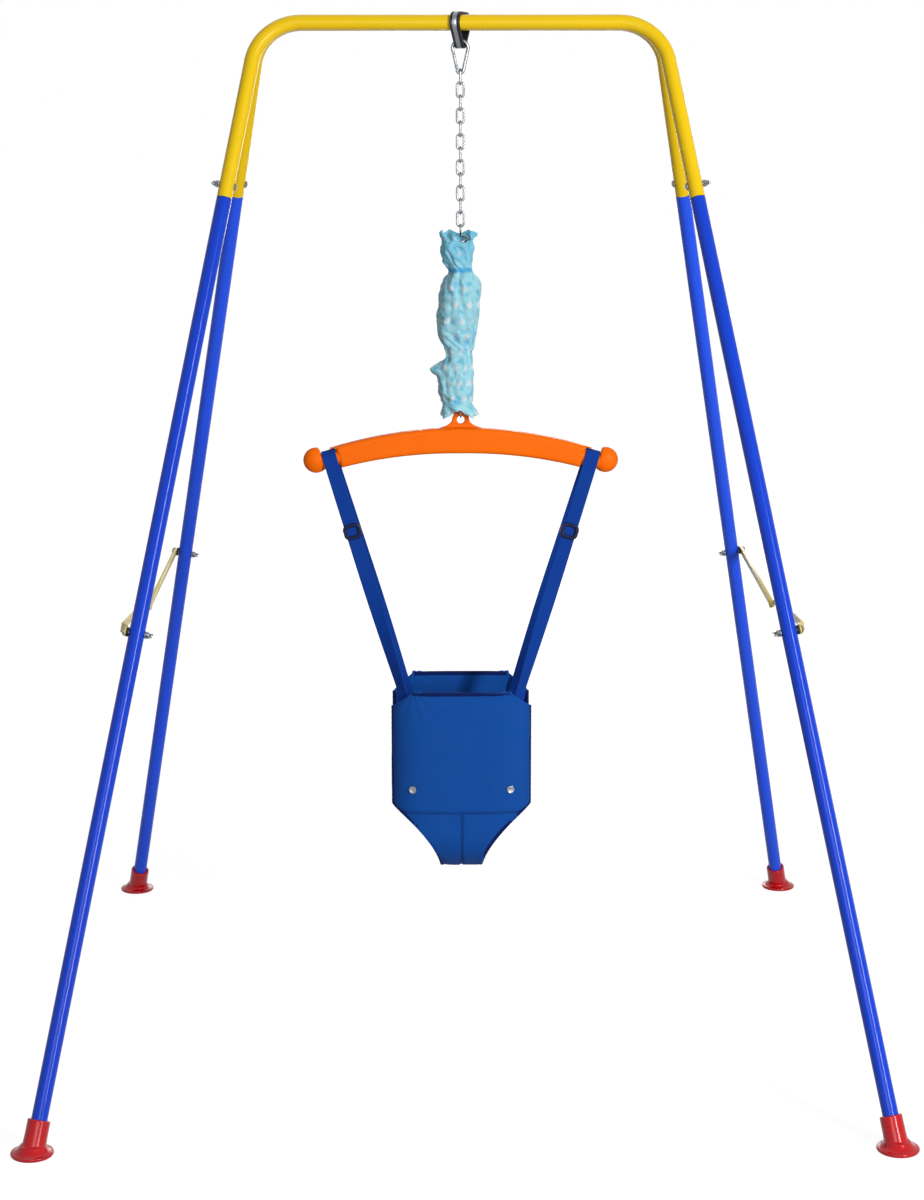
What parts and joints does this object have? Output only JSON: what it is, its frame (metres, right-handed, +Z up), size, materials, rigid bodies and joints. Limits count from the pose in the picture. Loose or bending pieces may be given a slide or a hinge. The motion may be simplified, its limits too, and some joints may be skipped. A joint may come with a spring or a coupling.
{
  "type": "baby jumper with stand",
  "caption": "Folding A-frame stand of bent steel tube with a chain, a sleeved spring, an arched spreader bar and a webbing seat harness for a bouncing baby.",
  "frame": {"origin": "on the floor, in the middle of the four feet", "axes": "+X to the right and +Z up as the picture shows it, with the side that faces the camera towards -Y"},
  "size_m": [1.0476, 1.0496, 1.3039],
  "materials": {
    "yellow_paint": "glossy powder coat",
    "blue_paint": "glossy powder coat",
    "red_plastic": "moulded, glossy",
    "brace_paint": "satin powder coat",
    "zinc": "zinc plated",
    "black_rubber": "matt",
    "orange_plastic": "moulded, semi-gloss",
    "sleeve_cloth": "thin woven cotton with printed dots",
    "webbing": "woven webbing",
    "harness_cloth": "padded woven cloth",
    "buckle_plastic": "moulded, matt"
  },
  "bodies": {
    "frame_front": {"top_tube_front": "yellow_paint", "leg_front_left": "blue_paint", "foot_front_left": "red_plastic", "joint_screw_front_left": "zinc", "brace_bolt_front_left": "zinc", "brace_nut_front_left": "zinc", "brace_spacer_front_left": "black_rubber", "leg_front_right": "blue_paint", "foot_front_right": "red_plastic", "joint_screw_front_right": "zinc", "brace_bolt_front_right": "zinc", "brace_nut_front_right": "zinc", "brace_spacer_front_right": "black_rubber", "hanger_band": "zinc", "hanger_lining": "black_rubber"},
    "frame_back": {"top_tube_back": "yellow_paint", "leg_back_left": "blue_paint", "foot_back_left": "red_plastic", "joint_screw_back_left": "zinc", "brace_bolt_back_left": "zinc", "brace_nut_back_left": "zinc", "brace_spacer_back_left": "black_rubber", "leg_back_right": "blue_paint", "foot_back_right": "red_plastic", "joint_screw_back_right": "zinc", "brace_bolt_back_right": "zinc", "brace_nut_back_right": "zinc", "brace_spacer_back_right": "black_rubber"},
    "brace_half_front_left": {"brace_front_left": "brace_paint", "brace_rivet_left": "zinc"},
    "brace_half_front_right": {"brace_front_right": "brace_paint", "brace_rivet_right": "zinc"},
    "brace_half_back_left": {"brace_back_left": "brace_paint"},
    "brace_half_back_right": {"brace_back_right": "brace_paint"},
    "hook": {"snap_hook": "zinc"},
    "gate": {"snap_gate": "zinc"},
    "chain_upper": {"chain_link_01": "zinc", "chain_link_02": "zinc", "chain_link_03": "zinc", "chain_link_04": "zinc"},
    "chain_middle": {"chain_link_05": "zinc", "chain_link_06": "zinc", "chain_link_07": "zinc", "chain_link_08": "zinc"},
    "chain_lower": {"chain_link_09": "zinc", "chain_link_10": "zinc", "chain_link_11": "zinc", "chain_link_12": "zinc"},
    "spring_unit": {"spring": "zinc", "spring_sleeve": "sleeve_cloth"},
    "ring": {"lug_ring": "zinc"},
    "spreader": {"spreader_bar": "orange_plastic"},
    "harness": {"harness_front": "harness_cloth", "harness_back": "harness_cloth", "strap_left": "webbing", "strap_right": "webbing", "snap_left": "zinc", "snap_right": "zinc"},
    "buckle_left_body": {"buckle_left": "buckle_plastic"},
    "buckle_right_body": {"buckle_right": "buckle_plastic"}
  },
  "joints": [
    {"name": "frame_fold", "type": "hinge", "parent": "frame_front", "child": "frame_back", "pos_m": [0, 0.0105, 1.2905], "axis": [-1, 0, 0], "range_deg": [0, 35]},
    {"name": "brace_front_left_swing", "type": "hinge", "parent": "frame_front", "child": "brace_half_front_left", "pos_m": [-0.38994, -0.28474, 0.5675], "axis": [-0.982, 0, 0.1887], "range_deg": [0, 92]},
    {"name": "brace_back_left_swing", "type": "hinge", "parent": "frame_back", "child": "brace_half_back_left", "pos_m": [-0.38994, 0.28474, 0.5675], "axis": [0.982, 0, -0.1887], "range_deg": [0, 92]},
    {"name": "brace_front_right_swing", "type": "hinge", "parent": "frame_front", "child": "brace_half_front_right", "pos_m": [0.38994, -0.28474, 0.5675], "axis": [-0.982, 0, -0.1887], "range_deg": [0, 92]},
    {"name": "brace_back_right_swing", "type": "hinge", "parent": "frame_back", "child": "brace_half_back_right", "pos_m": [0.38994, 0.28474, 0.5675], "axis": [0.982, 0, 0.1887], "range_deg": [0, 92]},
    {"name": "hook_swing", "type": "hinge", "parent": "frame_front", "child": "hook", "pos_m": [0, 0, 1.2656], "axis": [1, 0, 0], "range_deg": [-8, 8]},
    {"name": "gate_open", "type": "hinge", "parent": "hook", "child": "gate", "pos_m": [-0.00468, 0, 1.23579], "axis": [0, 1, 0], "range_deg": [0, 18], "stiffness_Nm_per_rad": 0.002, "springref_deg": -17.19},
    {"name": "chain_upper_sway", "type": "hinge", "parent": "hook", "child": "chain_upper", "pos_m": [0, 0, 1.23378], "axis": [0, 1, 0], "range_deg": [-6, 6]},
    {"name": "chain_middle_sway", "type": "hinge", "parent": "chain_upper", "child": "chain_middle", "pos_m": [0, 0, 1.16616], "axis": [1, 0, 0], "range_deg": [-8, 8]},
    {"name": "chain_lower_sway", "type": "hinge", "parent": "chain_middle", "child": "chain_lower", "pos_m": [0, 0, 1.10515], "axis": [0, 1, 0], "range_deg": [-8, 8]},
    {"name": "spring_sway", "type": "hinge", "parent": "chain_lower", "child": "spring_unit", "pos_m": [0, 0, 1.03753], "axis": [1, 0, 0], "range_deg": [-8, 8]},
    {"name": "bounce", "type": "slide", "parent": "spring_unit", "child": "ring", "axis": [0, 0, -1], "range_m": [0, 0.1], "stiffness_N_per_m": 700, "springref_m": -0.02, "deforming": ["spring", "spring_sleeve"]},
    {"name": "bar_tilt", "type": "hinge", "parent": "ring", "child": "spreader", "pos_m": [0, 0, 0.79332], "axis": [0, 1, 0], "range_deg": [-10, 10]},
    {"name": "harness_swing", "type": "hinge", "parent": "spreader", "child": "harness", "pos_m": [0, 0, 0.73942], "axis": [1, 0, 0], "range_deg": [-8, 8]},
    {"name": "buckle_left_slide", "type": "slide", "parent": "harness", "child": "buckle_left_body", "axis": [0.2923, -0.108, -0.9502], "range_m": [-0.03, 0.03]},
    {"name": "buckle_right_slide", "type": "slide", "parent": "harness", "child": "buckle_right_body", "axis": [-0.2923, -0.108, -0.9502], "range_m": [-0.03, 0.03]}
  ],
  "couplings": [
    {"joint": "brace_front_left_swing", "follows": "frame_fold", "ratio": 2.58},
    {"joint": "brace_back_left_swing", "follows": "frame_fold", "ratio": 2.58},
    {"joint": "brace_front_right_swing", "follows": "frame_fold", "ratio": 2.58},
    {"joint": "brace_back_right_swing", "follows": "frame_fold", "ratio": 2.58}
  ]
}
